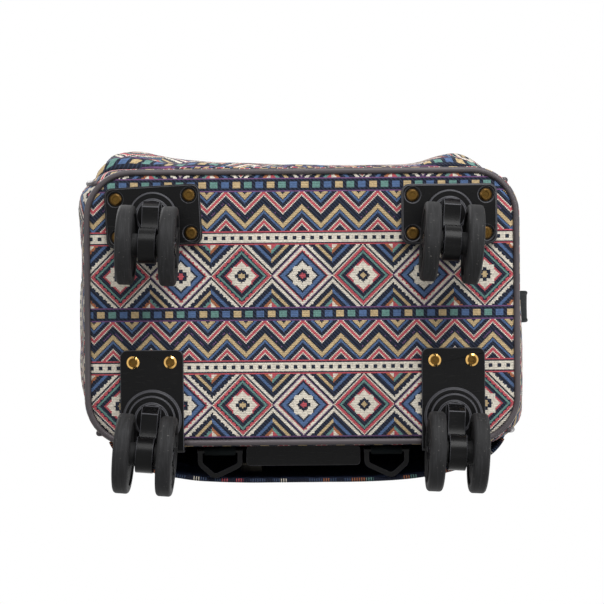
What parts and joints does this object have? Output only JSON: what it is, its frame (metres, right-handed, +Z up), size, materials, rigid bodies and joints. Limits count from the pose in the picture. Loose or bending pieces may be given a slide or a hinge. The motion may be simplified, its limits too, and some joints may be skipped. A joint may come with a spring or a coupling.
{
  "type": "rolling backpack",
  "caption": "Soft rolling backpack standing on twin-wheel swivel casters, with a telescopic trolley handle, piped edges, a bellied front pocket and a back sleeve that hides the straps.",
  "frame": {"origin": "on the floor under the middle of the base, where the bag stands on its wheels", "axes": "+Z up, the front faces -Y, +X to the bag's side that has the carry handle"},
  "size_m": [0.3535, 0.251, 0.4938],
  "materials": {
    "weave": "woven jacquard",
    "vinyl": "smooth coated cloth",
    "board": "moulded sheet",
    "zip": "zip tape and coil",
    "zip_metal": "plated",
    "webbing": "woven webbing",
    "plastic": "moulded black",
    "button": "moulded dark grey",
    "tube": "anodised",
    "steel": "bright",
    "brass": "plated",
    "tyre": "matte"
  },
  "bodies": {
    "bag": {"base_panel": "weave", "base_board": "board", "base_piping": "vinyl", "front_panel": "weave", "gusset": "weave", "back_panel": "weave", "front_piping": "vinyl", "back_piping": "vinyl", "back_board": "board", "front_pocket": "weave", "main_zip": "zip", "pocket_zip": "zip", "strap_sleeve": "weave", "sleeve_top": "weave", "shoulder_strap_left": "webbing", "shoulder_strap_right": "webbing", "strap_tail": "webbing", "ring_loops": "webbing", "haul_handle": "webbing", "side_handle": "webbing", "trolley_foot": "plastic", "trolley_bracket": "plastic", "outer_tubes": "tube", "front_plate_left": "plastic", "front_plate_right": "plastic", "rear_bracket_left": "plastic", "rear_bracket_right": "plastic", "front_rivets": "brass", "rear_rivets": "brass", "king_pins": "steel"},
    "main_slider_left": {"main_slider_left": "zip_metal"},
    "main_slider_right": {"main_slider_right": "zip_metal"},
    "main_pull_left": {"main_pull_left": "zip_metal"},
    "main_pull_right": {"main_pull_right": "zip_metal"},
    "pocket_slider": {"pocket_slider": "zip_metal"},
    "pocket_pull": {"pocket_pull": "zip_metal"},
    "strap_ring_left": {"strap_ring_left": "plastic"},
    "strap_ring_right": {"strap_ring_right": "plastic"},
    "middle_stage": {"middle_tubes": "tube"},
    "inner_stage": {"inner_tubes": "tube", "trolley_grip": "plastic"},
    "trolley_button": {"trolley_button": "button", "lock_rods": "steel"},
    "caster_front_left": {"fork_front_left": "plastic", "axle_front_left": "steel"},
    "wheel_front_left_l": {"wheel_front_left_l": "tyre"},
    "wheel_front_left_r": {"wheel_front_left_r": "tyre"},
    "caster_front_right": {"fork_front_right": "plastic", "axle_front_right": "steel"},
    "wheel_front_right_l": {"wheel_front_right_l": "tyre"},
    "wheel_front_right_r": {"wheel_front_right_r": "tyre"},
    "caster_rear_left": {"fork_rear_left": "plastic", "axle_rear_left": "steel"},
    "wheel_rear_left_l": {"wheel_rear_left_l": "tyre"},
    "wheel_rear_left_r": {"wheel_rear_left_r": "tyre"},
    "caster_rear_right": {"fork_rear_right": "plastic", "axle_rear_right": "steel"},
    "wheel_rear_right_l": {"wheel_rear_right_l": "tyre"},
    "wheel_rear_right_r": {"wheel_rear_right_r": "tyre"}
  },
  "joints": [
    {"name": "main_slider_left_run", "type": "slide", "parent": "bag", "child": "main_slider_left", "axis": [-1, 0, 0], "range_m": [0, 0.0835]},
    {"name": "main_pull_left_swing", "type": "hinge", "parent": "main_slider_left", "child": "main_pull_left", "pos_m": [-0.007, -0.034, 0.4718], "axis": [0, 1, 0], "range_deg": [0, 100]},
    {"name": "main_slider_right_run", "type": "slide", "parent": "bag", "child": "main_slider_right", "axis": [1, 0, 0], "range_m": [0, 0.0835]},
    {"name": "main_pull_right_swing", "type": "hinge", "parent": "main_slider_right", "child": "main_pull_right", "pos_m": [0.007, -0.034, 0.4718], "axis": [0, -1, 0], "range_deg": [0, 100]},
    {"name": "pocket_slider_run", "type": "slide", "parent": "bag", "child": "pocket_slider", "axis": [-1, 0, 0], "range_m": [0, 0.207]},
    {"name": "pocket_pull_swing", "type": "hinge", "parent": "pocket_slider", "child": "pocket_pull", "pos_m": [0.1035, -0.1057, 0.3194], "axis": [0, 0, 1], "range_deg": [0, 100]},
    {"name": "strap_ring_left_swing", "type": "hinge", "parent": "bag", "child": "strap_ring_left", "pos_m": [-0.05974, 0.1033, 0.0781], "axis": [1, 0, 0], "range_deg": [-85, 80]},
    {"name": "strap_ring_right_swing", "type": "hinge", "parent": "bag", "child": "strap_ring_right", "pos_m": [0.05974, 0.1033, 0.0781], "axis": [1, 0, 0], "range_deg": [-85, 80]},
    {"name": "middle_stage_slide", "type": "slide", "parent": "bag", "child": "middle_stage", "axis": [0, 0, 1], "range_m": [0, 0.255]},
    {"name": "inner_stage_slide", "type": "slide", "parent": "middle_stage", "child": "inner_stage", "axis": [0, 0, 1], "range_m": [0, 0.255]},
    {"name": "trolley_button_press", "type": "slide", "parent": "inner_stage", "child": "trolley_button", "axis": [0, 0, -1], "range_m": [0, 0.003], "stiffness_N_per_m": 600, "springref_m": -0.002},
    {"name": "caster_front_left_swivel", "type": "hinge", "parent": "bag", "child": "caster_front_left", "pos_m": [-0.105, -0.065, 0.0275], "axis": [0, 0, 1], "continuous": true},
    {"name": "wheel_front_left_l_spin", "type": "hinge", "parent": "caster_front_left", "child": "wheel_front_left_l", "pos_m": [-0.12065, -0.04366, 0.0275], "axis": [0.999, 0.0436, 0], "continuous": true},
    {"name": "wheel_front_left_r_spin", "type": "hinge", "parent": "caster_front_left", "child": "wheel_front_left_r", "pos_m": [-0.09127, -0.04238, 0.0275], "axis": [0.999, 0.0436, 0], "continuous": true},
    {"name": "caster_front_right_swivel", "type": "hinge", "parent": "bag", "child": "caster_front_right", "pos_m": [0.105, -0.065, 0.0275], "axis": [0, 0, 1], "continuous": true},
    {"name": "wheel_front_right_l_spin", "type": "hinge", "parent": "caster_front_right", "child": "wheel_front_right_l", "pos_m": [0.08862, -0.04422, 0.0275], "axis": [0.9969, 0.0785, 0], "continuous": true},
    {"name": "wheel_front_right_r_spin", "type": "hinge", "parent": "caster_front_right", "child": "wheel_front_right_r", "pos_m": [0.11793, -0.04191, 0.0275], "axis": [0.9969, 0.0785, 0], "continuous": true},
    {"name": "caster_rear_left_swivel", "type": "hinge", "parent": "bag", "child": "caster_rear_left", "pos_m": [-0.10695, 0.079, 0.0275], "axis": [0, 0, 1], "continuous": true},
    {"name": "wheel_rear_left_l_spin", "type": "hinge", "parent": "caster_rear_left", "child": "wheel_rear_left_l", "pos_m": [-0.12333, 0.09978, 0.0275], "axis": [0.9969, 0.0785, 0], "continuous": true},
    {"name": "wheel_rear_left_r_spin", "type": "hinge", "parent": "caster_rear_left", "child": "wheel_rear_left_r", "pos_m": [-0.09402, 0.10209, 0.0275], "axis": [0.9969, 0.0785, 0], "continuous": true},
    {"name": "caster_rear_right_swivel", "type": "hinge", "parent": "bag", "child": "caster_rear_right", "pos_m": [0.10695, 0.079, 0.0275], "axis": [0, 0, 1], "continuous": true},
    {"name": "wheel_rear_right_l_spin", "type": "hinge", "parent": "caster_rear_right", "child": "wheel_rear_right_l", "pos_m": [0.09112, 0.1002, 0.0275], "axis": [0.9986, 0.0523, 0], "continuous": true},
    {"name": "wheel_rear_right_r_spin", "type": "hinge", "parent": "caster_rear_right", "child": "wheel_rear_right_r", "pos_m": [0.12048, 0.10174, 0.0275], "axis": [0.9986, 0.0523, 0], "continuous": true}
  ]
}
